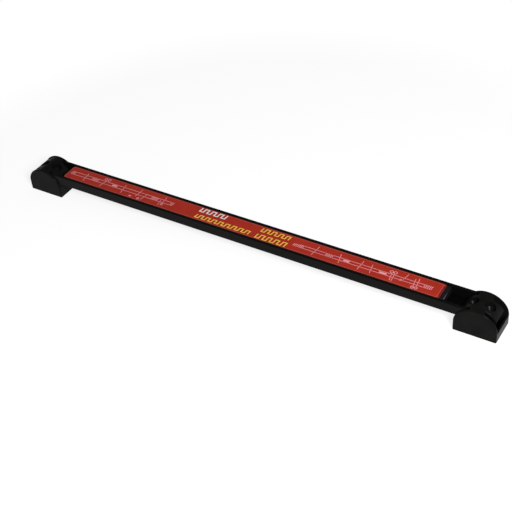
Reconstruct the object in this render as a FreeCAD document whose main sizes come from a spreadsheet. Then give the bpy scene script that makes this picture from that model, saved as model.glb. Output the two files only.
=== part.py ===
import FreeCAD, Part

# Magnetic tool holder: two steel pole bars with a row of ferrite magnets between them, a printed
# label strip over the magnets, and a moulded end cap at each end that lifts the rail off the wall
# and takes two screws. X runs along the rail, Y across it and Z up, away from the wall. The origin
# is on the mounting plane at the middle of the footprint. All sizes are in millimetres.

import math
import os
import Sketcher
from FreeCAD import Rotation, Vector

# name, value, what it sets
SIZES = [
    ("overall_length", "500", "over both end caps"),
    ("cap_length", "39", "one cap, along the rail"),
    ("cap_width", "28.4", "over the cheeks"),
    ("cap_height", "27.3", "top of the arched cheeks"),
    ("seat_drop", "6.1", "from the rail's underside down to the start of the arch"),
    ("shoulder_step", "2", "radius of the shoulders under the rise of the arch"),
    ("arch_play", "1", "least that half a cap is longer than the rise of its arch"),
    ("cheek_wall", "1.75", "thickness of a cheek"),
    ("end_wall", "1.75", "thickness of an end wall"),
    ("wall_drop", "0.25", "from the start of the arch down to the top of the outer end wall"),
    ("wall_bevel", "0.5", "bevel along the top of that wall"),
    ("rim_round", "1.2", "rounding of the cheeks' rims and of the upright corners"),
    ("rail_cover", "2.15", "from the tops of the pole bars up to the top of a cap"),
    ("bridge_sink", "0.3", "crown of the arched bridge below the cheeks"),
    ("bridge_wall", "2", "thickness of the bridge"),
    ("tongue_play", "1.45", "between a tongue and a pole bar"),
    ("tongue_gap", "2.7", "from a tongue's tip to the end of the cap"),
    ("tongue_lift", "1.7", "from the rail's underside to a tongue's tip"),
    ("slot_start", "6.4", "half length of the bridge's full width part"),
    ("tongue_bevel", "0.5", "bevelled edges of a tongue"),
    ("rib_wall", "1.6", "ribs under the bridge"),
    ("boss_wall", "1.5", "wall round a screw well"),
    ("screw_spacing", "14.8", "between the two screws of a cap"),
    ("screw_hole", "4.5", "diameter of a screw hole"),
    ("screw_well", "9.5", "diameter of a screw well"),
    ("well_depth", "6.2", "from the bridge's crown to the countersink"),
    ("countersink_depth", "2.5", "depth of the cone under a well"),
    ("bar_width", "2.7", "thickness of a pole bar"),
    ("bar_height", "9.6", "height of a pole bar"),
    ("bar_round", "0.4", "rolled edges of a pole bar"),
    ("bar_play", "3", "from the end of a bar to the bridge's full width part"),
    ("strip_wall", "1.5", "thickness of the base strip"),
    ("strip_play", "0.3", "from the end of the base strip to a tongue's tip"),
    ("strip_rib", "1", "height of its ribs between the magnets"),
    ("rib_play", "0.2", "between such a rib and a magnet"),
    ("magnet_count", "10", "blocks in the row"),
    ("magnet_gap", "3", "between two blocks"),
    ("magnet_margin", "11.2", "from a cap to the end of the row"),
    ("magnet_bevel", "0.4", "bevelled edges of a block"),
    ("label_wall", "0.6", "thickness of the label strip"),
    ("label_recess", "0.55", "label's face below the tops of the bars"),
    ("label_play", "0.25", "between the label and a bar"),
    ("label_left_margin", "3.7", "from the left cap to the label"),
    ("label_right_margin", "15.2", "from the right cap to the label"),
    ("label_corner", "2.5", "radius of the label's corners"),
]

# name, formula on the sizes above, what it sets
DERIVED = [
    ("cap_place", "(overall_length - cap_length) / 2", "middle of a cap from the origin"),
    ("inner_width", "cap_width - 2 * cheek_wall", "between the cheeks, and over the rail"),
    ("inner_side", "-inner_width / 2", "front cheek's inner face"),
    ("channel_width", "inner_width - 2 * bar_width", "between the pole bars"),
    ("cavity_length", "cap_length - 2 * end_wall", "between a cap's end walls"),
    ("rail_seat", "cap_height - rail_cover - bar_height", "rail's underside, top of the end wall under it"),
    ("full_rise", "rail_cover + bar_height + seat_drop", "arch of a cap that is long enough"),
    ("arch_rise", "min(full_rise; cap_length / 2 - arch_play)", "height of the arch alone"),
    ("spring_height", "cap_height - arch_rise", "where the arch leaves the upright ends"),
    ("outer_wall", "spring_height - wall_drop", "height of the end wall that faces away from the rail"),
    ("shoulder", "arch_rise - shoulder_step", "outer arcs of the arch"),
    ("notch_height", "cap_height - rail_seat + 1", "opening over the end wall under the rail"),
    ("outer_notch", "cap_height - outer_wall + 1", "opening over the outer end wall"),
    ("bridge_crown", "cap_height - bridge_sink", "top of the bridge"),
    ("tongue_reach", "cap_length / 2 - tongue_gap", "tongue's tip from the cap's middle"),
    ("tongue_span", "2 * tongue_reach", "over both tongues"),
    ("tongue_width", "channel_width - 2 * tongue_play", "narrow ends of the bridge"),
    ("tongue_half", "tongue_width / 2", "rear edge of a tongue"),
    ("tip_height", "rail_seat + tongue_lift", "height of a tongue's tip"),
    ("tongue_drop", "bridge_crown - tip_height", "from the bridge's crown to a tongue's tip"),
    ("bridge_radius", "(tongue_reach ^ 2 + tongue_drop ^ 2) / (2 * tongue_drop)", "bridge's outer arc"),
    ("bridge_inside", "bridge_radius - bridge_wall", "bridge's inner arc"),
    ("bridge_middle", "bridge_radius - bridge_wall / 2", "where the ribs end inside the bridge"),
    ("bridge_axis", "bridge_crown - bridge_radius", "height of the arcs' centre"),
    ("slot_length", "cap_length / 2 - slot_start", "slot beside a tongue, open at the tip"),
    ("slot_width", "(inner_width - tongue_width) / 2 + 1", "slot, with the cut past the bridge's side"),
    ("slot_place", "-slot_start", "left end of the full width part"),
    ("rib_place", "slot_start - rib_wall", "right rib's inner face"),
    ("web_side", "-rib_wall / 2", "front face of the lengthwise web"),
    ("boss_radius", "screw_well / 2 + boss_wall", "screw boss"),
    ("screw_place", "screw_spacing / 2", "right screw from the cap's middle"),
    ("web_start", "-screw_place", "the web runs from boss to boss"),
    ("well_base", "bridge_crown - well_depth", "countersink's upper rim"),
    ("cone_base", "well_base - countersink_depth", "countersink's lower rim"),
    ("well_radius", "screw_well / 2", "screw well"),
    ("hole_radius", "screw_hole / 2", "screw hole"),
    ("bar_place", "(inner_width - bar_width) / 2", "rear bar's middle"),
    ("bar_level", "rail_seat + bar_height / 2", "middle height of a bar"),
    ("clear_length", "overall_length - 2 * cap_length", "between the two caps"),
    ("bar_entry", "cap_length / 2 - slot_start - bar_play", "how far a bar reaches into a cap"),
    ("bar_length", "clear_length + 2 * bar_entry", "one pole bar"),
    ("strip_entry", "tongue_gap - strip_play", "how far the base strip reaches into a cap"),
    ("strip_length", "clear_length + 2 * strip_entry", "base strip"),
    ("rib_length", "magnet_gap - 2 * rib_play", "one rib of the base strip"),
    ("rib_top", "strip_wall + strip_rib", "top of a rib over the strip's underside"),
    ("magnet_base", "rail_seat + strip_wall", "underside of the magnets"),
    ("label_base", "rail_seat + bar_height - label_recess - label_wall", "underside of the label"),
    ("magnet_height", "label_base - magnet_base", "one block"),
    ("magnet_row", "clear_length - 2 * magnet_margin", "whole row of blocks"),
    ("magnet_length", "(magnet_row + magnet_gap) / magnet_count - magnet_gap", "one block"),
    ("magnet_pitch", "magnet_length + magnet_gap", "from block to block"),
    ("first_magnet", "(magnet_length - magnet_row) / 2", "middle of the first block"),
    ("first_rib", "first_magnet + magnet_pitch / 2", "middle of the first rib"),
    ("rib_count", "magnet_count - 1", "ribs of the base strip"),
    ("label_length", "clear_length - label_left_margin - label_right_margin", "label strip"),
    ("label_place", "(label_left_margin - label_right_margin) / 2", "middle of the label"),
    ("label_width", "channel_width - 2 * label_play", "label strip"),
]

doc = FreeCAD.newDocument("MagneticToolHolder")
VALUE = {}


def make_sheet():
    """Writes the sizes into a spreadsheet with aliases and reads all values back."""
    sheet = doc.addObject("Spreadsheet::Sheet", "Sizes")
    rows = SIZES + [(name, "=" + formula, note) for name, formula, note in DERIVED]
    for row, (name, content, note) in enumerate(rows, start=1):
        sheet.set(f"A{row}", name)
        sheet.set(f"B{row}", content)
        sheet.set(f"C{row}", note)
        sheet.setAlias(f"B{row}", name)
    doc.recompute()
    for name, _, _ in rows:
        VALUE[name] = float(sheet.get(name))


def bind(thing, **cells):
    """Ties properties to cells of the sheet; a double underscore stands for a dot."""
    for path, cell in cells.items():
        thing.setExpression(path.replace("__", "."), "Sizes." + cell)


def place(thing, **cells):
    """Ties the coordinates of an object's place to cells of the sheet."""
    for axis, cell in cells.items():
        thing.setExpression("Placement.Base." + axis, "Sizes." + cell)


def new_body(label):
    """Starts a body for one piece."""
    body = doc.addObject("PartDesign::Body", "Body_" + label)
    body.Label = label
    return body


def new_sketch(body, name, plane):
    """Starts a sketch on one of the body's origin planes."""
    sketch = body.newObject("Sketcher::SketchObject", f"{body.Label}_{name}")
    support = [item for item in body.Origin.OriginFeatures if item.Role == plane][0]
    sketch.AttachmentSupport = (support, [""])
    sketch.MapMode = "FlatFace"
    return sketch


def dimension(sketch, kind, where, cell):
    """Adds a dimension to a sketch and ties it to a cell of the sheet."""
    index = sketch.addConstraint(Sketcher.Constraint(kind, *where, VALUE[cell]))
    sketch.renameConstraint(index, f"{kind}_{cell}")
    sketch.setExpression(f"Constraints.{kind}_{cell}", "Sizes." + cell)


def constrain(sketch, kind, *where):
    """Adds a geometric constraint to a sketch."""
    sketch.addConstraint(Sketcher.Constraint(kind, *where))


def datum(word):
    """A sketch's own origin or axes, as its constraints number them."""
    return {"origin": (-1, 1), "level": (-1,), "upright": (-2,)}[word]


def draw_loop(sketch, points):
    """Draws a closed loop of straight lines and joins their ends."""
    lines = []
    for start, end in zip(points, points[1:] + points[:1]):
        lines.append(sketch.addGeometry(Part.LineSegment(Vector(*start, 0), Vector(*end, 0)), False))
    for line, following in zip(lines, lines[1:] + lines[:1]):
        constrain(sketch, "Coincident", line, 2, following, 1)
    return lines


def centred_rectangle(sketch, width_cell, height_cell):
    """Draws a rectangle about the sketch's origin."""
    x = VALUE[width_cell] / 2
    y = VALUE[height_cell] / 2
    bottom, right, top, left = draw_loop(sketch, [(-x, -y), (x, -y), (x, y), (-x, y)])
    for line in (bottom, top):
        constrain(sketch, "Horizontal", line)
    for line in (right, left):
        constrain(sketch, "Vertical", line)
    constrain(sketch, "Symmetric", bottom, 1, top, 1, *datum("origin"))
    dimension(sketch, "DistanceX", (bottom, 1, bottom, 2), width_cell)
    dimension(sketch, "DistanceY", (right, 1, right, 2), height_cell)


def prism(body, name, sketch, length_cell, symmetric=False):
    """Pads a sketch, to one side or equally to both."""
    pad = body.newObject("PartDesign::Pad", f"{body.Label}_{name}")
    pad.Profile = sketch
    if symmetric:
        pad.SideType = "Symmetric"
    bind(pad, Length=length_cell)
    doc.recompute()
    return pad


def cut_through(body, name, sketch, both_ways=True):
    """Cuts a sketch through the whole body, to both sides or only the way the sketch faces."""
    before = body.Tip.Shape.Volume
    pocket = body.newObject("PartDesign::Pocket", f"{body.Label}_{name}")
    pocket.Profile = sketch
    pocket.Type = "ThroughAll"
    if both_ways:
        pocket.SideType = "Symmetric"
    else:
        pocket.Reversed = True
    doc.recompute()
    if not 0 < pocket.Shape.Volume < before:
        raise RuntimeError(f"{pocket.Name} removed nothing")
    return pocket


def edges_where(shape, wanted):
    """Names the edges whose two ends and middle all pass a test."""
    names = []
    for index, edge in enumerate(shape.Edges, start=1):
        middle = edge.valueAt((edge.FirstParameter + edge.LastParameter) / 2)
        points = [vertex.Point for vertex in edge.Vertexes] + [middle]
        if all(wanted(point) for point in points):
            names.append(f"Edge{index}")
    return names


def soften(body, kind, base, names, size_cell):
    """Rounds or bevels the named edges of a feature."""
    feature = body.newObject("PartDesign::" + kind, f"{body.Label}_{kind}_{size_cell}")
    feature.Base = (base, names)
    bind(feature, **{"Radius" if kind == "Fillet" else "Size": size_cell})
    doc.recompute()
    return feature


def near(value, target):
    """Whether two lengths are the same in practice."""
    return abs(value - target) < 1e-4


def primitive(kind, name, sizes, position, rotation=None):
    """Adds a Part primitive whose sizes and place are tied to cells of the sheet."""
    thing = doc.addObject("Part::" + kind, name)
    if rotation:
        thing.Placement = FreeCAD.Placement(Vector(), rotation)
    bind(thing, **sizes)
    place(thing, **position)
    return thing


def joined(kind, name, pieces):
    """Fuses pieces, or keeps what they have in common."""
    thing = doc.addObject("Part::" + kind, name)
    thing.Shapes = pieces
    if kind == "MultiFuse":
        thing.Refine = True
    return thing


def cut(name, base, tool):
    """Cuts one object out of another."""
    thing = doc.addObject("Part::Cut", name)
    thing.Base = base
    thing.Tool = tool
    return thing


def draw_arch(sketch):
    """Draws a cheek's outline: a foot, upright ends and a three-centred arch on top."""
    half = VALUE["cap_length"] / 2
    spring = VALUE["spring_height"]
    rise = VALUE["arch_rise"]
    small = VALUE["shoulder"]
    large = (half ** 2 - 2 * half * small + rise ** 2) / (2 * rise - 2 * small)
    crown_centre = Vector(0, spring + rise - large, 0)
    turn = math.atan2(large - rise, half - small)
    normal = Vector(0, 0, 1)
    right_circle = Part.Circle(Vector(half - small, spring, 0), normal, small)
    left_circle = Part.Circle(Vector(small - half, spring, 0), normal, small)
    geometry = [
        Part.LineSegment(Vector(-half, 0, 0), Vector(half, 0, 0)),
        Part.LineSegment(Vector(half, 0, 0), Vector(half, spring, 0)),
        Part.ArcOfCircle(right_circle, 0, turn),
        Part.ArcOfCircle(Part.Circle(crown_centre, normal, large), turn, math.pi - turn),
        Part.ArcOfCircle(left_circle, math.pi - turn, math.pi),
        Part.LineSegment(Vector(-half, spring, 0), Vector(-half, 0, 0)),
        Part.Point(Vector(0, spring + rise, 0)),
    ]
    foot, right, shoulder_right, crown, shoulder_left, left, top = [
        sketch.addGeometry(item, isinstance(item, Part.Point)) for item in geometry
    ]
    constrain(sketch, "Coincident", foot, 2, right, 1)
    constrain(sketch, "Coincident", left, 2, foot, 1)
    constrain(sketch, "Horizontal", foot)
    constrain(sketch, "Vertical", right)
    constrain(sketch, "Vertical", left)
    constrain(sketch, "Symmetric", foot, 1, foot, 2, *datum("origin"))
    constrain(sketch, "Tangent", right, 2, shoulder_right, 1)
    constrain(sketch, "Tangent", shoulder_right, 2, crown, 1)
    constrain(sketch, "Tangent", crown, 2, shoulder_left, 1)
    constrain(sketch, "Tangent", shoulder_left, 2, left, 1)
    constrain(sketch, "Equal", shoulder_right, shoulder_left)
    constrain(sketch, "Equal", right, left)
    constrain(sketch, "PointOnObject", top, 1, *datum("upright"))
    constrain(sketch, "PointOnObject", top, 1, crown)
    dimension(sketch, "DistanceX", (foot, 1, foot, 2), "cap_length")
    dimension(sketch, "DistanceY", (right, 1, right, 2), "spring_height")
    dimension(sketch, "DistanceY", (*datum("origin"), top, 1), "cap_height")
    dimension(sketch, "Radius", (shoulder_right,), "shoulder")


def make_cap_shell(name):
    """The cheeks and the end walls: an arched block, rounded, hollowed and notched."""
    body = new_body(name + "_shell")
    outline = new_sketch(body, "outline", "XZ_Plane")
    draw_arch(outline)
    block = prism(body, "block", outline, "cap_width", symmetric=True)
    side = VALUE["cap_width"] / 2
    rims = edges_where(block.Shape, lambda p: near(abs(p.y), side))
    feet = edges_where(block.Shape, lambda p: near(p.z, 0))
    soften(body, "Fillet", block, [edge for edge in rims if edge not in feet], "rim_round")
    hollow = new_sketch(body, "hollow", "XY_Plane")
    centred_rectangle(hollow, "cavity_length", "inner_width")
    cut_through(body, "cavity", hollow)
    gate = new_sketch(body, "gate", "YZ_Plane")
    draw_gate(gate, "rail_seat", "notch_height")
    doc.recompute()
    cut_through(body, "notch", gate)
    outer_gate = new_sketch(body, "outer_gate", "YZ_Plane")
    draw_gate(outer_gate, "outer_wall", "outer_notch")
    doc.recompute()
    open_shell = cut_through(body, "outer_notch", outer_gate, both_ways=False)
    soften(body, "Chamfer", open_shell, edges_where(open_shell.Shape, on_wall_top), "wall_bevel")
    return body


def on_wall_top(point):
    """Whether a point lies on the outer end wall's top edge, away from the rail."""
    return near(point.z, VALUE["outer_wall"]) and near(point.x, VALUE["cap_length"] / 2)


def draw_gate(sketch, low_cell, height_cell):
    """Draws the opening over an end wall, between the cheeks."""
    x = VALUE["inner_width"] / 2
    low = VALUE[low_cell]
    high = low + VALUE[height_cell]
    bottom, right, top, left = draw_loop(sketch, [(-x, low), (x, low), (x, high), (-x, high)])
    constrain(sketch, "Symmetric", bottom, 1, bottom, 2, *datum("upright"))
    constrain(sketch, "Horizontal", top)
    constrain(sketch, "Vertical", right)
    constrain(sketch, "Vertical", left)
    dimension(sketch, "DistanceX", (bottom, 1, bottom, 2), "inner_width")
    dimension(sketch, "DistanceY", (right, 1, right, 2), height_cell)
    dimension(sketch, "DistanceY", (*datum("origin"), bottom, 2), low_cell)


def draw_bridge_section(sketch):
    """Draws the arched bridge in section: two arcs about one centre with radial ends."""
    centre = Vector(0, VALUE["bridge_axis"], 0)
    outer = VALUE["bridge_radius"]
    inner = VALUE["bridge_inside"]
    low = math.asin((VALUE["tip_height"] - centre.y) / outer)
    normal = Vector(0, 0, 1)
    reach = Vector(math.cos(low), math.sin(low), 0)
    mirrored_reach = Vector(-reach.x, reach.y, 0)
    geometry = [
        Part.ArcOfCircle(Part.Circle(centre, normal, outer), low, math.pi - low),
        Part.LineSegment(centre + mirrored_reach * outer, centre + mirrored_reach * inner),
        Part.ArcOfCircle(Part.Circle(centre, normal, inner), low, math.pi - low),
        Part.LineSegment(centre + reach * inner, centre + reach * outer),
        Part.Point(centre + Vector(0, outer, 0)),
    ]
    top, left_end, under, right_end, crown = [
        sketch.addGeometry(item, isinstance(item, Part.Point)) for item in geometry
    ]
    constrain(sketch, "Coincident", top, 2, left_end, 1)
    constrain(sketch, "Coincident", left_end, 2, under, 2)
    constrain(sketch, "Coincident", under, 1, right_end, 1)
    constrain(sketch, "Coincident", right_end, 2, top, 1)
    constrain(sketch, "Coincident", top, 3, under, 3)
    constrain(sketch, "PointOnObject", top, 3, *datum("upright"))
    constrain(sketch, "PointOnObject", top, 3, left_end)
    constrain(sketch, "PointOnObject", top, 3, right_end)
    constrain(sketch, "PointOnObject", crown, 1, *datum("upright"))
    constrain(sketch, "PointOnObject", crown, 1, top)
    constrain(sketch, "Symmetric", top, 1, top, 2, *datum("upright"))
    dimension(sketch, "DistanceY", (*datum("origin"), crown, 1), "bridge_crown")
    dimension(sketch, "DistanceX", (top, 2, top, 1), "tongue_span")
    dimension(sketch, "DistanceY", (*datum("origin"), top, 1), "tip_height")
    dimension(sketch, "Radius", (under,), "bridge_inside")


def draw_slots(sketch):
    """Draws the two slots beside the right tongue, which are open at its tip."""
    left = VALUE["slot_start"]
    right = left + VALUE["slot_length"]
    low = VALUE["tongue_half"]
    high = low + VALUE["slot_width"]
    rear = draw_loop(sketch, [(left, low), (right, low), (right, high), (left, high)])
    front = draw_loop(sketch, [(left, -low), (right, -low), (right, -high), (left, -high)])
    for line, mirrored in zip(rear, front):
        constrain(sketch, "Symmetric", line, 1, mirrored, 1, *datum("level"))
    inner_side, tip, _, root = rear
    constrain(sketch, "Horizontal", inner_side)
    constrain(sketch, "Vertical", tip)
    constrain(sketch, "Vertical", root)
    constrain(sketch, "Equal", tip, root)
    dimension(sketch, "DistanceX", (*datum("origin"), inner_side, 1), "slot_start")
    dimension(sketch, "DistanceX", (inner_side, 1, inner_side, 2), "slot_length")
    dimension(sketch, "DistanceY", (*datum("origin"), inner_side, 1), "tongue_half")
    dimension(sketch, "DistanceY", (tip, 1, tip, 2), "slot_width")


def on_tongue(point):
    """Whether a point lies on the upper face of a tongue."""
    out = math.hypot(point.x, point.z - VALUE["bridge_axis"])
    inside = abs(point.y) < VALUE["tongue_half"] + 1e-4
    return near(out, VALUE["bridge_radius"]) and abs(point.x) > VALUE["slot_start"] - 1e-4 and inside


def make_bridge(name):
    """The arched bridge: full width between the cheeks, with a narrower bevelled tongue at each side."""
    body = new_body(name + "_arch")
    section = new_sketch(body, "section", "XZ_Plane")
    draw_bridge_section(section)
    prism(body, "pad", section, "inner_width", symmetric=True)
    plan = new_sketch(body, "slots", "XY_Plane")
    draw_slots(plan)
    doc.recompute()
    right_slots = cut_through(body, "right_slots", plan)
    slots = body.newObject("PartDesign::Mirrored", body.Label + "_left_slots")
    slots.Originals = [right_slots]
    slots.MirrorPlane = (plan, ["V_Axis"])
    body.Tip = slots
    doc.recompute()
    soften(body, "Chamfer", slots, edges_where(slots.Shape, on_tongue), "tongue_bevel")
    return body


def make_supports(name):
    """What stands under the bridge: two screw bosses, a web that joins them and two cross ribs."""
    web = primitive("Box", name + "_web",
                    {"Length": "screw_spacing", "Width": "rib_wall", "Height": "cap_height"},
                    {"x": "web_start", "y": "web_side"})
    rib_sizes = {"Length": "rib_wall", "Width": "inner_width", "Height": "cap_height"}
    right_rib = primitive("Box", name + "_right_rib", rib_sizes, {"x": "rib_place", "y": "inner_side"})
    left_rib = primitive("Box", name + "_left_rib", rib_sizes, {"x": "slot_place", "y": "inner_side"})
    bosses = []
    for side, place_x in screw_places():
        boss = primitive("Cylinder", f"{name}_{side}_boss",
                         {"Radius": "boss_radius", "Height": "cap_height"}, {})
        boss.setExpression("Placement.Base.x", place_x)
        bosses.append(boss)
    standing = joined("MultiFuse", name + "_standing", [web, right_rib, left_rib] + bosses)
    upright = Rotation(Vector(1, 0, 0), 90)
    roof = primitive("Cylinder", name + "_roof",
                     {"Radius": "bridge_middle", "Height": "inner_width"},
                     {"z": "bridge_axis"}, upright)
    roof.setExpression("Placement.Base.y", "-Sizes.inner_side")
    return joined("MultiCommon", name + "_supports", [standing, roof])


def screw_places():
    """The two screws of a cap, with the formula for each one's place along the rail."""
    return [("outer", "Sizes.screw_place"), ("inner", "-Sizes.screw_place")]


def make_screw_cuts(name):
    """Cutting shapes for a cap's screws: a well, a countersink and a hole for each."""
    shapes = []
    for side, place_x in screw_places():
        well = primitive("Cylinder", f"{name}_{side}_well",
                         {"Radius": "well_radius", "Height": "cap_height"}, {"z": "well_base"})
        cone = primitive("Cone", f"{name}_{side}_cone",
                         {"Radius1": "hole_radius", "Radius2": "well_radius",
                          "Height": "countersink_depth"}, {"z": "cone_base"})
        hole = primitive("Cylinder", f"{name}_{side}_hole",
                         {"Radius": "hole_radius", "Height": "cap_height"}, {})
        for thing in (well, cone, hole):
            thing.setExpression("Placement.Base.x", place_x)
        shapes += [well, cone, hole]
    return joined("MultiFuse", name + "_screw_cuts", shapes)


def make_cap(label, place_x, turn):
    """One moulded end cap; the same moulding, turned half round, serves the left end of the rail."""
    shell = make_cap_shell(label)
    solid = joined("MultiFuse", label + "_solid", [shell, make_bridge(label), make_supports(label)])
    cap = cut(label + "_cap", solid, make_screw_cuts(label))
    cap.Refine = True
    cap.Label = label
    cap.Placement = FreeCAD.Placement(Vector(), Rotation(Vector(0, 0, 1), turn))
    cap.setExpression("Placement.Base.x", place_x)
    return cap


def make_bar(label, place_y):
    """One steel pole bar with rolled edges."""
    body = new_body(label)
    section = new_sketch(body, "section", "YZ_Plane")
    centred_rectangle(section, "bar_width", "bar_height")
    flat = prism(body, "flat", section, "bar_length", symmetric=True)
    end = VALUE["bar_length"] / 2
    across = edges_where(flat.Shape, lambda p: near(abs(p.x), end))
    every = edges_where(flat.Shape, lambda p: True)
    soften(body, "Fillet", flat, [edge for edge in every if edge not in across], "bar_round")
    body.setExpression("Placement.Base.y", place_y)
    place(body, z="bar_level")
    return body


def make_base_strip(label):
    """The strip that closes the underside, with low ribs that keep the magnets apart."""
    body = new_body(label)
    plan = new_sketch(body, "plan", "XY_Plane")
    centred_rectangle(plan, "strip_length", "channel_width")
    prism(body, "floor", plan, "strip_wall")
    rib_plan = new_sketch(body, "rib_plan", "XY_Plane")
    bind(rib_plan, AttachmentOffset__Base__x="first_rib")
    centred_rectangle(rib_plan, "rib_length", "channel_width")
    rib = prism(body, "rib", rib_plan, "rib_top")
    row = body.newObject("PartDesign::LinearPattern", label + "_ribs")
    row.Originals = [rib]
    row.Direction = (rib_plan, ["H_Axis"])
    row.Mode = "Spacing"
    bind(row, Offset="magnet_pitch", Occurrences="rib_count")
    body.Tip = row
    place(body, z="rail_seat")
    return body


def make_magnet(number):
    """One bevelled ferrite block of the row."""
    body = new_body(f"magnet_{number:02d}")
    plan = new_sketch(body, "plan", "XY_Plane")
    centred_rectangle(plan, "magnet_length", "channel_width")
    block = prism(body, "block", plan, "magnet_height")
    soften(body, "Chamfer", block, edges_where(block.Shape, lambda p: True), "magnet_bevel")
    body.setExpression("Placement.Base.x", f"Sizes.first_magnet + {number - 1} * Sizes.magnet_pitch")
    place(body, z="magnet_base")
    return body


def make_label_strip(label):
    """The printed strip over the magnets, with round corners."""
    body = new_body(label)
    plan = new_sketch(body, "plan", "XY_Plane")
    centred_rectangle(plan, "label_length", "label_width")
    sheet = prism(body, "sheet", plan, "label_wall")
    middle = VALUE["label_wall"] / 2
    level = edges_where(sheet.Shape, lambda p: near(abs(p.z - middle), middle))
    every = edges_where(sheet.Shape, lambda p: True)
    soften(body, "Fillet", sheet, [edge for edge in every if edge not in level], "label_corner")
    place(body, x="label_place", z="label_base")
    return body


def check_document():
    """Stops at any object that FreeCAD marks as failed."""
    for thing in doc.Objects:
        if {"Invalid", "Error"} & set(thing.State):
            raise RuntimeError(f"{thing.Name} is {thing.State}")


def export(pieces):
    """Checks each piece's shape and writes it to its own file."""
    os.makedirs("parts", exist_ok=True)
    for piece in pieces:
        shape = piece.Shape
        if shape.isNull() or not shape.isValid() or len(shape.Solids) != 1:
            raise RuntimeError(f"{piece.Label} is not one valid solid")
        shape.exportStep(f"parts/{piece.Label}.step")
        box = shape.optimalBoundingBox(True, False)
        print(f"{piece.Label}: {shape.Volume:.1f} mm3, "
              f"X {box.XMin:.2f} to {box.XMax:.2f}, Y {box.YMin:.2f} to {box.YMax:.2f}, "
              f"Z {box.ZMin:.2f} to {box.ZMax:.2f}")


make_sheet()
parts = [
    make_cap("right_end_cap", "Sizes.cap_place", 0),
    make_cap("left_end_cap", "-Sizes.cap_place", 180),
    make_bar("front_pole_bar", "-Sizes.bar_place"),
    make_bar("rear_pole_bar", "Sizes.bar_place"),
    make_base_strip("base_strip"),
    make_label_strip("label_strip"),
]
parts += [make_magnet(number) for number in range(1, round(VALUE["magnet_count"]) + 1)]
doc.recompute()
check_document()
export(parts)
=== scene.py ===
# Magnetic tool holder: black moulded end caps, two black painted steel bars with ferrite blocks
# between them, and a red printed strip over the blocks. X runs along the rail, Y across it and Z up
# from the mounting plane. Sizes of the object are in millimetres and are scaled to metres once, and
# the stage, the lamp and the camera are in metres.

import math

import bmesh
import bpy
from mathutils import Matrix, Vector


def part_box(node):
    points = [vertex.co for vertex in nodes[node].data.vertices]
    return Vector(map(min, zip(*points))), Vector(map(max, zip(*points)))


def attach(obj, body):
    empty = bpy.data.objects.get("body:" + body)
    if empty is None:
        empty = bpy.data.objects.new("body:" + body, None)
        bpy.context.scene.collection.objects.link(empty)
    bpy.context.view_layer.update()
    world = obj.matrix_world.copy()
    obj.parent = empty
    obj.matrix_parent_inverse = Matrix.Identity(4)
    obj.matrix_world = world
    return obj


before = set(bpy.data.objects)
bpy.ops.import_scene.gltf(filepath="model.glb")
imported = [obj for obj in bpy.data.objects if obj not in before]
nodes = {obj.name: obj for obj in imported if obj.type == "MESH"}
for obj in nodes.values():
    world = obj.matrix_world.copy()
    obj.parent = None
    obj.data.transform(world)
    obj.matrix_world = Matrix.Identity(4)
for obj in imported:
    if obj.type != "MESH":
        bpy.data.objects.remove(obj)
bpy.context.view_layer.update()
scene = bpy.context.scene
MM = 0.001

# The strip that carries the print.
STRIP_LOW, STRIP_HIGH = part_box("label_strip")
FACE = STRIP_HIGH.z / MM
INK_SUNK = 0.02      # how far the ink slabs reach into the strip
INK_PROUD = 0.02     # and how far they stand over it

# Headings of the print, drawn as battlement lines: left end, right end, middle and height.
WHITE_HEADINGS = [(-52.0, -23.3, 5.15, 5.8)]
YELLOW_HEADINGS = [(-51.7, 7.6, -4.4, 5.2), (15.5, 45.4, 4.35, 5.5), (14.7, 46.3, -4.9, 6.2)]
BAR_WIDTH = 1.2
BAR_PITCH = 3.7
BAR_LEAN = 0.9
LINK_HEIGHT = 1.0
DROP_SHIFT = (-0.5, -0.45)
DROP_PROUD = INK_PROUD / 2

# Line drawing at each end of the print: a rail seen from the front with plain shapes across it.
LINE_WIDTH = 0.5
RING_LINE = LINE_WIDTH * 1.2
HATCH_LINE = LINE_WIDTH * 1.3
HATCH_PITCH = 1.6
HATCH_LEAN = 0.35
RAIL_DRAWINGS = [  # left end, right end and the heights of its two lines
    (-203.0, -80.8, 2.3, -1.7), (58.0, 186.0, 1.1, -2.35),
]
SOLID_BLOCKS = [  # middle, width and height
    (140.3, -0.9, 7.1, 2.0), (105.0, -0.6, 6.0, 2.0), (157.8, -2.3, 2.0, 2.0),
    (-150.0, 0.3, 6.0, 2.0), (-127.0, -6.2, 2.6, 1.4),
]
HATCHES = [  # left end, right end, low and high
    (51.4, 62.2, -2.6, 0.9), (178.4, 186.8, -2.8, 1.9), (84.0, 92.0, -2.6, 1.4),
    (-106.0, -98.0, -1.2, 2.0), (-84.0, -80.0, -1.9, 2.5), (-178.0, -170.0, -1.6, 2.2),
    (-203.4, -199.0, -1.9, 2.5),
]
RINGS = [  # middle and radius
    (146.7, 3.9, 1.8), (150.3, 4.1, 1.8), (170.2, -6.3, 1.6), (173.6, -5.9, 1.6),
    (-91.1, -4.0, 1.5), (-117.3, -6.4, 1.5), (-160.0, 5.4, 1.7), (-163.8, 5.2, 1.7),
]
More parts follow.
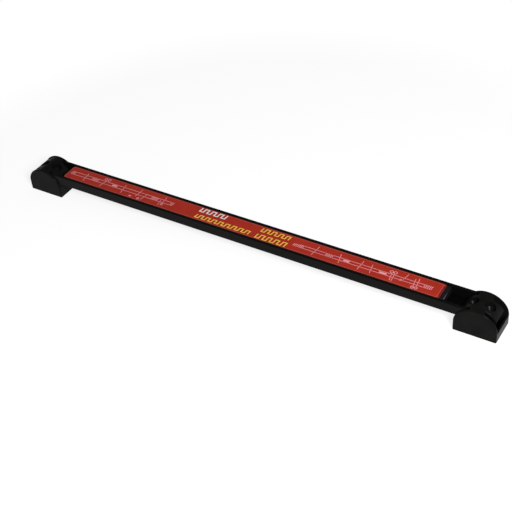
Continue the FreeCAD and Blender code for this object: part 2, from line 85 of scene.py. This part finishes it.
STROKES = [  # start and end
    ((150.2, 2.2), (150.9, -7.0)), ((147.4, 2.2), (149.2, -6.8)), ((161.3, 7.1), (159.6, -1.0)),
    ((172.1, 6.3), (173.2, -4.2)), ((169.2, 4.2), (170.4, -4.6)), ((119.0, 6.0), (118.2, -6.5)),
    ((97.0, 5.5), (99.5, -6.0)), ((75.0, 6.4), (73.0, -6.4)), ((128.0, 5.0), (130.0, -6.0)),
    ((-120.6, 7.0), (-121.4, -4.4)), ((-92.1, 6.9), (-91.4, -2.4)), ((-95.2, 1.2), (-94.2, -6.3)),
    ((-112.0, 3.6), (-114.0, -6.8)), ((-140.0, 6.4), (-138.2, -6.4)),
    ((-162.0, 3.4), (-164.0, -6.2)), ((-186.0, 5.6), (-184.6, -6.4)),
]

# The pale line along the strip's edge, a painted highlight, and the dark band between that line and
# the edge, painted shade.
SIDE_MARGIN = 0.8    # from the strip's edge to the pale line, along the sides and the left end
END_MARGIN = 2.1     # and at the right end
HIGHLIGHT_LINE_WIDTH = 0.35
HIGHLIGHT_LINE_CORNER = 1.7
EDGE_SHADE_CORNER = 2.5
EDGE_SHADE_PROUD = INK_PROUD / 4
EDGE_SHADE_END_SPAN = 13.8
EDGE_WRAP = 0.02     # how far the margin stands off the strip's cut edge
EDGE_DEPTH = 0.58    # and how far down it laps over that edge

# The stretch of the last magnet's top edge that carries a painted glint, in Y.
GLINT_START = -7.8
GLINT_END = -0.2
GLINT_RADIUS = 0.3
GLINT_PROUD = 0.08

# The stage, in metres.
FLOOR_RADIUS = 0.42
FLOOR_FADE = 0.34    # where the table starts to fade into the backdrop
FLOOR_Z = -0.00005
SHADE_PATCH_Z = -0.00003   # the dark patch inside each cap lies just over the table
SHADE_PATCH_GAP = 0.001    # and ends that far inside the cap's outer walls
ROOM_LIGHT = 0.3
CEILING_LIGHT = 0.15
CEILING_START = 0.05    # the height, in the unit sphere of directions, where the ceiling sets in
CEILING_FULL = 0.45     # and where it is as dim as it gets
KEY_PLACE = (0.76, -0.60, 0.77)
KEY_SIZE = 0.3
KEY_POWER = 15.0

# The view, fitted to the photograph's straight edges and to the caps' corners.
CAMERA_PLACE = (0.45105, -0.63753, 0.64789)
CAMERA_AHEAD = (-0.43549, 0.62849, -0.64448)
CAMERA_UP = (-0.28454, 0.58313, 0.76092)
CAMERA_LENS = 76.5      # mm, for a sensor of 36 mm
CAMERA_SENSOR = 36.0


def linear(hex_colour):
    """Turns an sRGB hex colour into linear RGBA."""
    values = [int(hex_colour[i:i + 2], 16) / 255 for i in (1, 3, 5)]
    return [v / 12.92 if v <= 0.04045 else ((v + 0.055) / 1.055) ** 2.4 for v in values] + [1.0]


def add(tree, kind, inputs=None, stops=(), **settings):
    """Adds a shader node. Each input is a plain value or the output that feeds it, and stops are
    the places and hex colours of a colour ramp."""
    node = tree.nodes.new("ShaderNode" + kind)
    for name, value in settings.items():
        setattr(node, name, value)
    for name, value in (inputs or {}).items():
        if isinstance(value, bpy.types.NodeSocket):
            tree.links.new(value, node.inputs[name])
        else:
            node.inputs[name].default_value = value
    for number, (position, colour) in enumerate(stops):
        node.color_ramp.elements[number].position = position
        node.color_ramp.elements[number].color = linear(colour)
    return node


def per_mm(size):
    """A noise scale for a pattern whose grains are that many millimetres across."""
    return 1 / (size * MM)


def new_material(name, specular):
    """Starts a dielectric with one Principled shader and returns its tree, shader and place."""
    material = bpy.data.materials.new(name)
    material.use_nodes = True
    tree = material.node_tree
    tree.nodes.clear()
    shader = add(tree, "BsdfPrincipled", {"IOR": 1.5, "Specular IOR Level": specular})
    add(tree, "OutputMaterial", {"Surface": shader.outputs[0]})
    return material, tree, shader, add(tree, "TexCoord").outputs["Object"]


def finish_surface(tree, shader, colour, gloss, relief):
    """Wires a surface from its patterns: colour is one with its dark and light hex colours, gloss
    one with its least and most roughness, relief one with its strength and its depth in mm."""
    pattern, dark, light = colour
    tint = add(tree, "ValToRGB", {"Fac": pattern}, stops=((0.3, dark), (0.7, light)))
    pattern, least, most = gloss
    roughness = add(tree, "MapRange", {"Value": pattern, "From Min": 0.3, "From Max": 0.7,
                                       "To Min": least, "To Max": most})
    height, strength, depth = relief
    bump = add(tree, "Bump", {"Height": height, "Strength": strength, "Distance": depth * MM})
    tree.links.new(tint.outputs["Color"], shader.inputs["Base Color"])
    tree.links.new(roughness.outputs["Result"], shader.inputs["Roughness"])
    tree.links.new(bump.outputs["Normal"], shader.inputs["Normal"])


# The black surfaces have a low specular level, because what they mirror in the photo is dark and
# the table here is white.

# Black ABS, injection moulded in a spark-eroded tool: a deep black with an even satin gloss and a
# fine grain. The grain is 0.2 mm on the real part and drawn at 0.5 mm. Broad, faint clouds in the
# gloss come from the flow of the melt.
def moulded_abs():
    material, tree, shader, place = new_material("moulded_abs_spark_grain", 0.035)
    cloud = add(tree, "TexNoise", {"Vector": place, "Scale": per_mm(9), "Detail": 3.0})
    grain = add(tree, "TexNoise", {"Vector": place, "Scale": per_mm(0.5), "Detail": 2.0})
    cloud, grain = cloud.outputs["Fac"], grain.outputs["Fac"]
    finish_surface(tree, shader, colour=(cloud, "#0e0e0d", "#131312"), gloss=(cloud, 0.27, 0.33),
                   relief=(grain, 0.2, 0.03))
    return material


# Baked black enamel on cold-rolled flat bar: semi-gloss with a shallow orange peel of about 1.5 mm,
# and faint lengthwise draw marks that show through from the steel.
def baked_enamel():
    material, tree, shader, place = new_material("baked_black_enamel", 0.05)
    peel = add(tree, "TexNoise", {"Vector": place, "Scale": per_mm(1.5), "Detail": 1.0})
    along = add(tree, "Mapping", {"Vector": place, "Scale": (0.02, 1.0, 1.0)}).outputs["Vector"]
    marks = add(tree, "TexNoise", {"Vector": along, "Scale": per_mm(0.6), "Detail": 2.0})
    marks = marks.outputs["Fac"]
    both = add(tree, "Math", {0: peel.outputs["Fac"], 1: marks}, operation="ADD").outputs[0]
    finish_surface(tree, shader, colour=(marks, "#070807", "#0c0d0b"), gloss=(marks, 0.26, 0.34),
                   relief=(both, 0.2, 0.02))
    return material


# Extruded black PVC for the strip underneath: smooth and dull, with faint die lines along it.
def extruded_pvc():
    material, tree, shader, place = new_material("extruded_black_pvc", 0.04)
    along = add(tree, "Mapping", {"Vector": place, "Scale": (0.01, 1.0, 1.0)}).outputs["Vector"]
    lines = add(tree, "TexNoise", {"Vector": along, "Scale": per_mm(0.8), "Detail": 2.0})
    lines = lines.outputs["Fac"]
    finish_surface(tree, shader, colour=(lines, "#030303", "#060606"), gloss=(lines, 0.42, 0.52),
                   relief=(lines, 0.2, 0.02))
    return material


# Sintered strontium ferrite, ground flat: near black and matt, with the grit's scratches across the
# block and small pores of about 0.4 mm. The scratches are drawn at 0.3 mm, coarser than real ones.
def ground_ferrite():
    material, tree, shader, place = new_material("ground_sintered_ferrite", 0.12)
    across = add(tree, "Mapping", {"Vector": place, "Scale": (1.0, 0.04, 1.0)}).outputs["Vector"]
    grit = add(tree, "TexNoise", {"Vector": across, "Scale": per_mm(0.3), "Detail": 3.0})
    grit = grit.outputs["Fac"]
    pores = add(tree, "TexVoronoi", {"Vector": place, "Scale": per_mm(1.6)}).outputs["Distance"]
    pit = add(tree, "MapRange", {"Value": pores, "From Min": 0.05, "From Max": 0.22})
    both = add(tree, "Math", {0: grit, 1: pit.outputs["Result"]}, operation="ADD").outputs[0]
    finish_surface(tree, shader, colour=(grit, "#100e10", "#191619"), gloss=(grit, 0.42, 0.55),
                   relief=(both, 0.35, 0.04))
    return material


# The same ferrite, smooth and glossy with fine scratches, but much lighter: a painted glint along
# one edge.
def painted_glint_ferrite():
    material, tree, shader, place = new_material("ferrite_with_painted_glint", 0.5)
    glint_grain = add(tree, "TexNoise", {"Vector": place, "Scale": per_mm(0.4), "Detail": 2.0})
    glint_grain = glint_grain.outputs["Fac"]
    # The light colours paint the glint.
    finish_surface(tree, shader, colour=(glint_grain, "#4a444c", "#5c555e"), gloss=(glint_grain, 0.3, 0.4),
                   relief=(glint_grain, 0.2, 0.01))
    return material


# One printed ink of the strip: an ink layer under a clear satin polyester film. Film is not quite
# flat, so broad ripples of about 12 mm bend its reflections, and the ink is a little uneven in a
# fine mottle of about 0.5 mm.
def printed_film(name, dark, light):
    material, tree, shader, place = new_material(name, 0.2)
    mottle = add(tree, "TexNoise", {"Vector": place, "Scale": per_mm(0.5), "Detail": 2.0})
    ripple = add(tree, "TexNoise", {"Vector": place, "Scale": per_mm(12), "Detail": 1.0})
    mottle, ripple = mottle.outputs["Fac"], ripple.outputs["Fac"]
    blend = add(tree, "Mix", {0: 0.5, 2: mottle, 3: ripple}).outputs[0]
    finish_surface(tree, shader, colour=(blend, dark, light), gloss=(mottle, 0.32, 0.38),
                   relief=(ripple, 0.3, 0.05))
    return material


def dress(names, material):
    """Gives CAD pieces their material."""
    for name in names:
        for place in nodes[name].material_slots:
            place.material = material


def finish_piece(name, mesh, material):
    """Turns a bmesh into an object that rides with the holder."""
    bmesh.ops.recalc_face_normals(mesh, faces=list(mesh.faces))
    data = bpy.data.meshes.new(name)
    mesh.to_mesh(data)
    mesh.free()
    piece = bpy.data.objects.new(name, data)
    scene.collection.objects.link(piece)
    data.materials.append(material)
    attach(piece, "root")


def set_down(mesh, verts, place):
    """Moves a shape that was made in mm about the origin to its place, and scales it to metres."""
    bmesh.ops.transform(mesh, matrix=Matrix.Scale(MM, 4) @ place, verts=verts)


def ink_block(mesh, x, y, width, height, lean=0.0, proud=INK_PROUD):
    """A flat block of ink, sized in mm about its middle. Its far edge leans to +X by lean mm."""
    made = bmesh.ops.create_cube(mesh, size=1.0)
    depth = INK_SUNK + proud
    skew = Matrix.Identity(4)
    skew[0][1] = lean / height
    move = Matrix.Translation((x, y, FACE + proud - depth / 2))
    set_down(mesh, made["verts"], move @ skew @ Matrix.Diagonal((width, height, depth, 1.0)))


def ink_stroke(mesh, start, end, width):
    """A straight stroke of ink from one point of the face to another, in mm."""
    run = Vector(end) - Vector(start)
    middle = (Vector(start) + Vector(end)) / 2
    made = bmesh.ops.create_cube(mesh, size=1.0)
    depth = INK_SUNK + INK_PROUD
    turn = Matrix.Rotation(math.atan2(run.y, run.x), 4, "Z")
    move = Matrix.Translation((middle.x, middle.y, FACE + INK_PROUD - depth / 2))
    set_down(mesh, made["verts"], move @ turn @ Matrix.Diagonal((run.length, width, depth, 1.0)))


def raise_rim(mesh, field, width, height):
    """Keeps the rim of a flat face, of that width, and raises it into a ring of that height."""
    rim = bmesh.ops.inset_region(mesh, faces=[field], thickness=width, use_boundary=True,
                                 use_even_offset=True)["faces"]
    bmesh.ops.delete(mesh, geom=[field], context="FACES_ONLY")
    grown = bmesh.ops.extrude_face_region(mesh, geom=rim)
    top = [item for item in grown["geom"] if isinstance(item, bmesh.types.BMVert)]
    bmesh.ops.translate(mesh, vec=(0, 0, height), verts=top)


def ink_ring(mesh, x, y, radius):
    """A ring of ink, in mm, drawn as a flat washer."""
    others = set(mesh.verts)
    made = bmesh.ops.create_circle(mesh, cap_ends=True, segments=20, radius=radius)
    raise_rim(mesh, made["verts"][0].link_faces[0], RING_LINE, INK_SUNK + INK_PROUD)
    verts = [vert for vert in mesh.verts if vert not in others]
    set_down(mesh, verts, Matrix.Translation((x, y, FACE - INK_SUNK)))


def battlement(mesh, left, right, y, height, shift=(0.0, 0.0), proud=INK_PROUD):
    """A leaning battlement line: upright bars joined by turns at the top and at the bottom."""
    count = round((right - left - BAR_WIDTH) / BAR_PITCH) + 1
    pitch = (right - left - BAR_WIDTH) / (count - 1)
    link_y = (height - LINK_HEIGHT) / 2
    link_lean = BAR_LEAN * LINK_HEIGHT / height
    for number in range(count):
        x = left + BAR_WIDTH / 2 + number * pitch + shift[0]
        ink_block(mesh, x, y + shift[1], BAR_WIDTH, height, BAR_LEAN, proud)
        if number < count - 1:
            side = 1 if number % 2 else -1
            link_x = x + pitch / 2 + side * BAR_LEAN * link_y / height
            ink_block(mesh, link_x, y + shift[1] + side * link_y, pitch - BAR_WIDTH, LINK_HEIGHT,
                      link_lean, proud)


def ink_hatch(mesh, left, right, low, high):
    """A small block of leaning strokes."""
    count = round((right - left) / HATCH_PITCH)
    for number in range(count):
        x = left + (right - left) * (number + 0.5) / count
        ink_stroke(mesh, (x - HATCH_LEAN, low), (x + HATCH_LEAN, high), HATCH_LINE)


def edge_ring(left, right, side, corner, width, proud, sunk):
    """A ring along the strip's edge, laid on like ink, with its gaps to the edge's ends and sides
    in mm. It draws the painted edge highlight and the painted edge shade.
    """
    low = Vector((STRIP_LOW.x / MM + left, STRIP_LOW.y / MM + side))
    high = Vector((STRIP_HIGH.x / MM - right, STRIP_HIGH.y / MM - side))
    size = high - low
    centre = (low + high) / 2
    mesh = bmesh.new()
    made = bmesh.ops.create_grid(mesh, x_segments=1, y_segments=1, size=0.5)
    stretch = Matrix.Diagonal((size.x, size.y, 1.0, 1.0))
    bmesh.ops.transform(mesh, matrix=stretch, verts=made["verts"])
    bmesh.ops.bevel(mesh, geom=made["verts"], offset=corner, offset_type="OFFSET",
                    affect="VERTICES", segments=6, profile=0.5, material=-1)
    raise_rim(mesh, next(iter(mesh.faces)), width, sunk + proud)
    set_down(mesh, list(mesh.verts), Matrix.Translation((centre.x, centre.y, FACE - sunk)))
    return mesh


def build_drawings():
    """The line drawings at both ends of the print, in one ink."""
    mesh = bmesh.new()
    for left, right, high, low in RAIL_DRAWINGS:
        for y in (high, low):
            ink_stroke(mesh, (left, y), (right, y), LINE_WIDTH)
    for x, y, width, height in SOLID_BLOCKS:
        ink_block(mesh, x, y, width, height)
    for left, right, low, high in HATCHES:
        ink_hatch(mesh, left, right, low, high)
    for x, y, radius in RINGS:
        ink_ring(mesh, x, y, radius)
    for start, end in STROKES:
        ink_stroke(mesh, start, end, LINE_WIDTH)
    return mesh


def build_painted_edge_highlight():
    """The fine pale line near the strip's edge: a painted highlight of that edge."""
    return edge_ring(SIDE_MARGIN, END_MARGIN, SIDE_MARGIN, HIGHLIGHT_LINE_CORNER, HIGHLIGHT_LINE_WIDTH,
                     INK_PROUD / 2, INK_SUNK)


def build_painted_edge_shade():
    """The dark band outside the pale line, which laps over the strip's cut edge: painted shade on
    the edge.
    """
    mesh = edge_ring(-EDGE_WRAP, -EDGE_WRAP, -EDGE_WRAP, EDGE_SHADE_CORNER, SIDE_MARGIN + EDGE_WRAP,
                     EDGE_SHADE_PROUD, EDGE_DEPTH)
    # Across the right end the painted shade is a wider band.
    middle = STRIP_HIGH.x / MM - (END_MARGIN + SIDE_MARGIN) / 2
    ink_block(mesh, middle, 0.0, END_MARGIN - SIDE_MARGIN, EDGE_SHADE_END_SPAN, proud=EDGE_SHADE_PROUD)
    return mesh


def build_print():
    """All ink of the strip, one piece for each colour, and the painted edge highlight and edge
    shade laid on like ink.
    """
    white, yellow, drop = bmesh.new(), bmesh.new(), bmesh.new()
    for heading in WHITE_HEADINGS:
        battlement(white, *heading)
    for heading in YELLOW_HEADINGS:
        battlement(yellow, *heading)
        battlement(drop, *heading, DROP_SHIFT, DROP_PROUD)
    for name, mesh, ink, dark, light in (
            ("print_white", white, "white", "#dcd8d4", "#f2efec"),
            ("print_drawings", build_drawings(), "pink", "#dc8f98", "#e6a0a8"),
            ("print_yellow", yellow, "yellow", "#e8ac3c", "#f4c654"),
            ("print_drop", drop, "brown", "#3a120a", "#521a0e"),
            # This pale line is a painted highlight, and the dark band below it is painted shade of
            # the strip's edge.
            ("print_painted_edge_highlight", build_painted_edge_highlight(), "pale_red_painted_highlight", "#b8584c", "#c4645a"),
            ("print_painted_edge_shade", build_painted_edge_shade(), "dark_red_painted_shade", "#641a18", "#761f1c")):
        finish_piece(name, mesh, printed_film(ink + "_ink_under_film", dark, light))


def build_painted_glint():
    """A bright rod along the last magnet's top edge over a few mm of its length: a painted glint.
    """
    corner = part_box("magnet_10")[1] / MM
    mesh = bmesh.new()
    made = bmesh.ops.create_cone(mesh, cap_ends=True, segments=16, radius1=GLINT_RADIUS,
                                 radius2=GLINT_RADIUS, depth=GLINT_END - GLINT_START)
    move = Matrix.Translation((corner.x - GLINT_RADIUS + GLINT_PROUD, (GLINT_START + GLINT_END) / 2,
                               corner.z - GLINT_RADIUS + GLINT_PROUD))
    set_down(mesh, made["verts"], move @ Matrix.Rotation(math.pi / 2, 4, "X"))
    for face in mesh.faces:
        face.smooth = len(face.verts) == 4
    finish_piece("magnet_10_painted_glint", mesh, painted_glint_ferrite())


def shown_ray(tree):
    """1 for the rays that show the background: the camera's, mirrored and transmitted ones."""
    path = add(tree, "LightPath").outputs
    value = path["Is Camera Ray"]
    for other in ("Is Glossy Ray", "Is Transmission Ray"):
        value = add(tree, "Math", {0: value, 1: path[other]}, operation="MAXIMUM").outputs[0]
    return value


# Painted studio table: matt and white, with the holder's soft shadow kept. It fades into the white
# backdrop towards its rim.
def studio_table():
    material = bpy.data.materials.new("white_studio_table")
    material.use_nodes = True
    tree = material.node_tree
    tree.nodes.clear()
    shaded = add(tree, "AddShader", {
        0: add(tree, "BsdfDiffuse", {"Color": linear("#888888")}).outputs[0],
        1: add(tree, "Emission", {"Strength": 0.8}).outputs[0]})
    place = add(tree, "TexCoord").outputs["Object"]
    reach = add(tree, "VectorMath", {0: place}, operation="LENGTH").outputs["Value"]
    fade = add(tree, "MapRange", {"Value": reach, "From Min": FLOOR_FADE, "From Max": FLOOR_RADIUS})
    seen = add(tree, "MixShader", {0: fade.outputs["Result"], 1: shaded.outputs[0],
                                   2: add(tree, "Emission", {"Strength": 1.0}).outputs[0]})
    light = add(tree, "BsdfDiffuse", {"Color": linear("#e6e6e6")})
    mix = add(tree, "MixShader", {0: shown_ray(tree), 1: light.outputs[0], 2: seen.outputs[0]})
    add(tree, "OutputMaterial", {"Surface": mix.outputs[0]})
    return material


# The table under a hollow cap, as a black patch of painted shade.
def painted_shade_table():
    material = bpy.data.materials.new("painted_shade_under_a_cap")
    material.use_nodes = True
    shader = material.node_tree.nodes["Principled BSDF"]
    shader.inputs["Base Color"].default_value = linear("#050505")
    shader.inputs["Specular IOR Level"].default_value = 0.0
    return material


def build_floor():
    """A plain round table top under the holder, with a black patch of painted shade inside each
    hollow cap.
    """
    mesh = bmesh.new()
    top = bmesh.ops.create_circle(mesh, cap_ends=True, segments=96, radius=FLOOR_RADIUS)
    bmesh.ops.translate(mesh, vec=(0, 0, FLOOR_Z), verts=top["verts"])
    for cap in ("left_end_cap", "right_end_cap"):
        low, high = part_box(cap)
        size = high - low
        patch = bmesh.ops.create_grid(mesh, x_segments=1, y_segments=1, size=0.5)["verts"]
        stretch = Matrix.Diagonal((size.x - 2 * SHADE_PATCH_GAP, size.y - 2 * SHADE_PATCH_GAP, 1.0, 1.0))
        move = Matrix.Translation(((low.x + high.x) / 2, (low.y + high.y) / 2, SHADE_PATCH_Z))
        bmesh.ops.transform(mesh, matrix=move @ stretch, verts=patch)
        patch[0].link_faces[0].material_index = 1
    data = bpy.data.meshes.new("studio_floor")
    mesh.to_mesh(data)
    mesh.free()
    floor = bpy.data.objects.new("studio_floor", data)
    data.materials.append(studio_table())
    # The second material paints the shade under the caps.
    data.materials.append(painted_shade_table())
    scene.collection.objects.link(floor)


def build_world():
    """White to the camera, a dim ceiling for reflections and an even light for all the rest."""
    world = bpy.data.worlds.new("studio")
    scene.world = world
    world.use_nodes = True
    tree = world.node_tree
    tree.nodes.clear()
    glossy = add(tree, "LightPath").outputs["Is Glossy Ray"]
    way = add(tree, "SeparateXYZ", {0: add(tree, "TexCoord").outputs["Generated"]})
    ceiling = add(tree, "MapRange", {"Value": way.outputs["Z"], "From Min": CEILING_START,
                                     "From Max": CEILING_FULL, "To Min": 1.0,
                                     "To Max": CEILING_LIGHT})
    level = add(tree, "Mix", {0: glossy, 2: 1.0, 3: ceiling.outputs["Result"]}).outputs[0]
    light = add(tree, "Background", {"Color": linear("#ffffff"), "Strength": ROOM_LIGHT})
    white = add(tree, "Background", {"Color": linear("#ffffff"), "Strength": level})
    mix = add(tree, "MixShader", {0: shown_ray(tree), 1: light.outputs[0], 2: white.outputs[0]})
    add(tree, "OutputWorld", {"Surface": mix.outputs[0]})


def add_lamp(name, place, size, power):
    """A soft square lamp that faces the holder's middle from the given place."""
    data = bpy.data.lights.new(name, "AREA")
    data.shape = "SQUARE"
    data.size = size
    data.energy = power
    lamp = bpy.data.objects.new(name, data)
    lamp.location = place
    lamp.rotation_euler = Vector(place).to_track_quat("Z", "Y").to_euler()
    scene.collection.objects.link(lamp)


def place_camera():
    """The photograph's view: from the right, in front and above, with a slight roll."""
    data = bpy.data.cameras.new("camera")
    data.sensor_width = CAMERA_SENSOR
    data.lens = CAMERA_LENS
    data.clip_start = 0.01
    camera = bpy.data.objects.new("camera", data)
    ahead = Vector(CAMERA_AHEAD).normalized()
    across = ahead.cross(Vector(CAMERA_UP)).normalized()
    turn = Matrix((across, across.cross(ahead), -ahead)).transposed().to_4x4()
    camera.matrix_world = Matrix.Translation(CAMERA_PLACE) @ turn
    scene.collection.objects.link(camera)
    scene.camera = camera


dress(["right_end_cap", "left_end_cap"], moulded_abs())
dress(["front_pole_bar", "rear_pole_bar"], baked_enamel())
dress(["base_strip"], extruded_pvc())
dress([name for name in nodes if name.startswith("magnet_")], ground_ferrite())
dress(["label_strip"], printed_film("red_ink_under_film", "#9a2515", "#ac2b1b"))

build_print()
build_painted_glint()
build_floor()
build_world()
add_lamp("key_lamp", KEY_PLACE, KEY_SIZE, KEY_POWER)
place_camera()
scene.view_settings.view_transform = "Standard"
